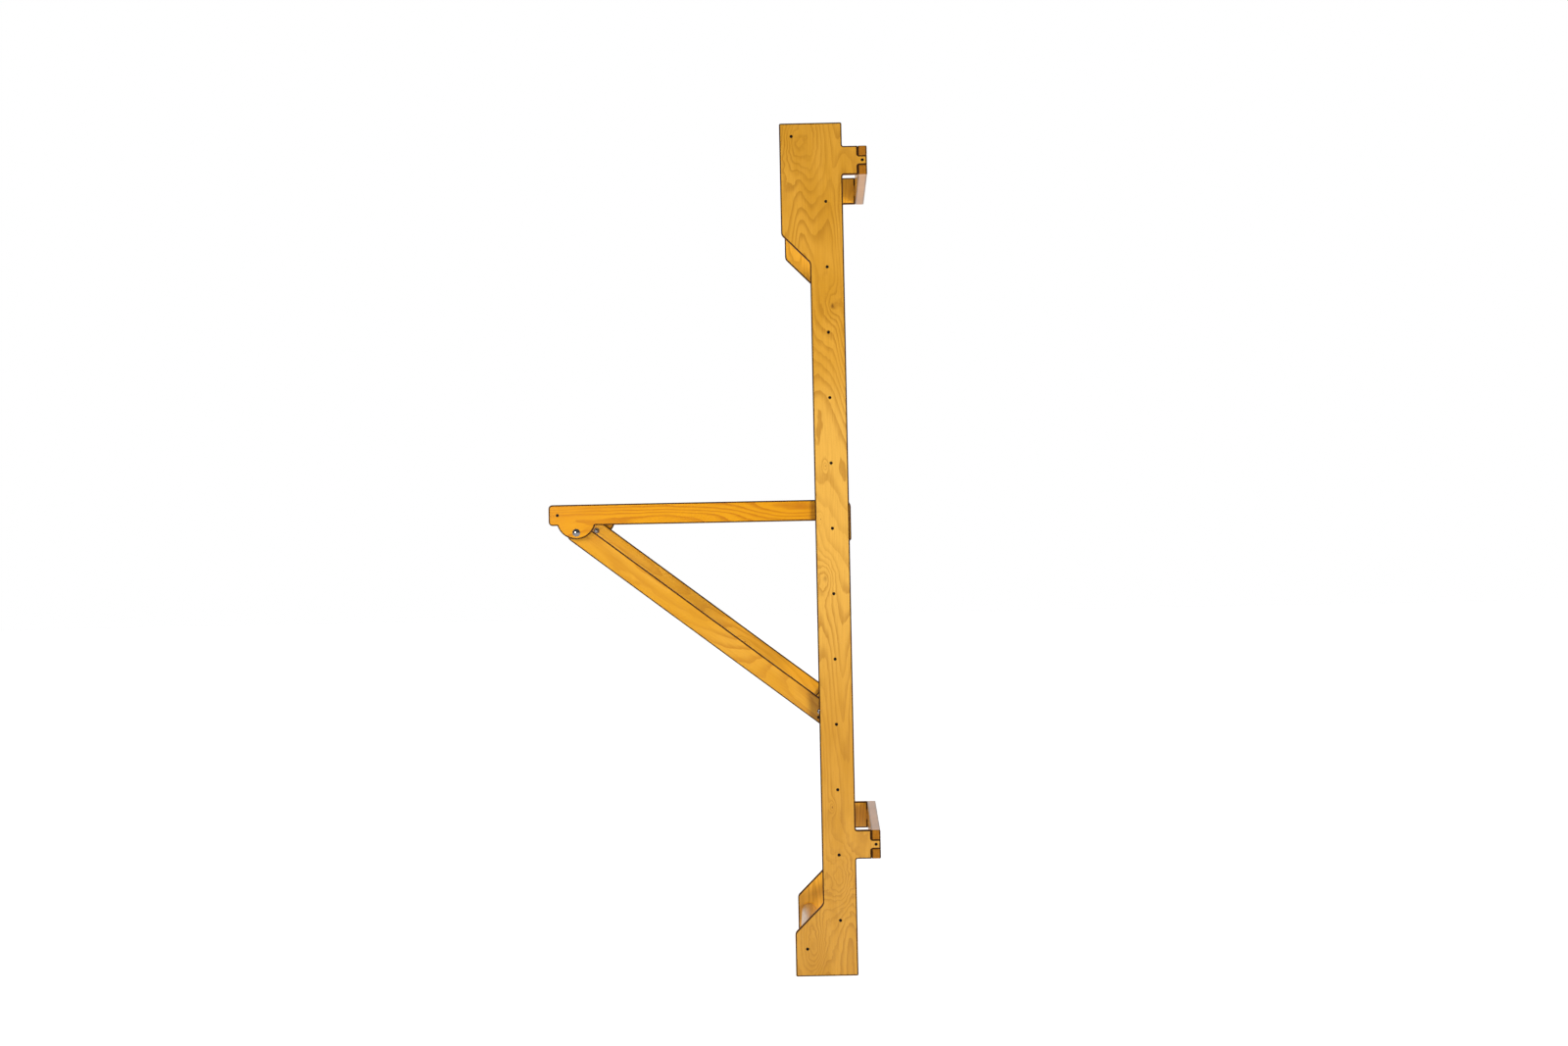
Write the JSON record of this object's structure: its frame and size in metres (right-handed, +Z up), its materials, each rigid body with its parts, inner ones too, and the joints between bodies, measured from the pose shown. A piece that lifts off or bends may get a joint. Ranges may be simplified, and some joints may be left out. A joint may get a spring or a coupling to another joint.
{
  "type": "wall bars with pull-up bracket",
  "caption": "Plywood wall ladder of round rungs between two notched side plates, on two wall rails, with a hook-on triangular pull-up bracket that tilts up.",
  "frame": {"origin": "on the wall plane, in the middle of the four wall bolt holes", "axes": "+X along the rungs to the user's right, +Y into the wall, +Z up"},
  "size_m": [0.9, 0.842, 2.2],
  "materials": {
    "birch_plywood": "clear-varnished birch plywood with dark core lines on its edges",
    "bracket_plywood": "amber-varnished birch plywood",
    "dowel": "turned birch, satin varnish",
    "bright_steel": "bright plated steel",
    "black_screw": "black phosphated steel"
  },
  "bodies": {
    "wall_bars": {"right_upright": "birch_plywood", "left_upright": "birch_plywood", "rung_01": "dowel", "rung_02": "dowel", "rung_03": "dowel", "rung_04": "dowel", "rung_05": "dowel", "rung_06": "dowel", "rung_07": "dowel", "rung_08": "dowel", "rung_09": "dowel", "rung_10": "dowel", "rung_11": "dowel", "rung_12": "dowel", "top_front_rung": "dowel", "bottom_front_rung": "dowel", "top_wall_rail": "birch_plywood", "bottom_wall_rail": "birch_plywood", "right_rung_screws": "black_screw", "left_rung_screws": "black_screw", "right_rail_screws": "black_screw", "left_rail_screws": "black_screw"},
    "bracket": {"right_arm": "bracket_plywood", "left_arm": "bracket_plywood", "pull_up_bar": "dowel", "right_bar_screw": "black_screw", "left_bar_screw": "black_screw", "right_pivot_bolt": "bright_steel", "left_pivot_bolt": "bright_steel", "right_pivot_spacer": "bright_steel", "left_pivot_spacer": "bright_steel", "right_pivot_washer": "bright_steel", "left_pivot_washer": "bright_steel", "right_pivot_nut": "bright_steel", "left_pivot_nut": "bright_steel"},
    "right_brace": {"right_brace": "bracket_plywood", "right_foot_cheek": "bracket_plywood", "right_foot_bolt": "bright_steel", "right_foot_washer": "bright_steel", "right_foot_nut": "bright_steel", "right_foot_screws": "black_screw"},
    "left_brace": {"left_brace": "bracket_plywood", "left_foot_cheek": "bracket_plywood", "left_foot_bolt": "bright_steel", "left_foot_washer": "bright_steel", "left_foot_nut": "bright_steel", "left_foot_screws": "black_screw"}
  },
  "joints": [
    {"name": "bracket_tilt", "type": "hinge", "parent": "wall_bars", "child": "bracket", "pos_m": [0, -0.108, -0.0655], "axis": [-1, 0, 0], "range_deg": [0, 45]},
    {"name": "right_brace_swing", "type": "hinge", "parent": "bracket", "child": "right_brace", "pos_m": [0.3866, -0.771, -0.06362], "axis": [-1, 0, 0], "range_deg": [0, 7.6]},
    {"name": "left_brace_swing", "type": "hinge", "parent": "bracket", "child": "left_brace", "pos_m": [-0.3866, -0.771, -0.06362], "axis": [-1, 0, 0], "range_deg": [0, 7.6]}
  ],
  "couplings": [
    {"joint": "right_brace_swing", "follows": "bracket_tilt", "ratio": 0.1683},
    {"joint": "left_brace_swing", "follows": "bracket_tilt", "ratio": 0.1683}
  ]
}
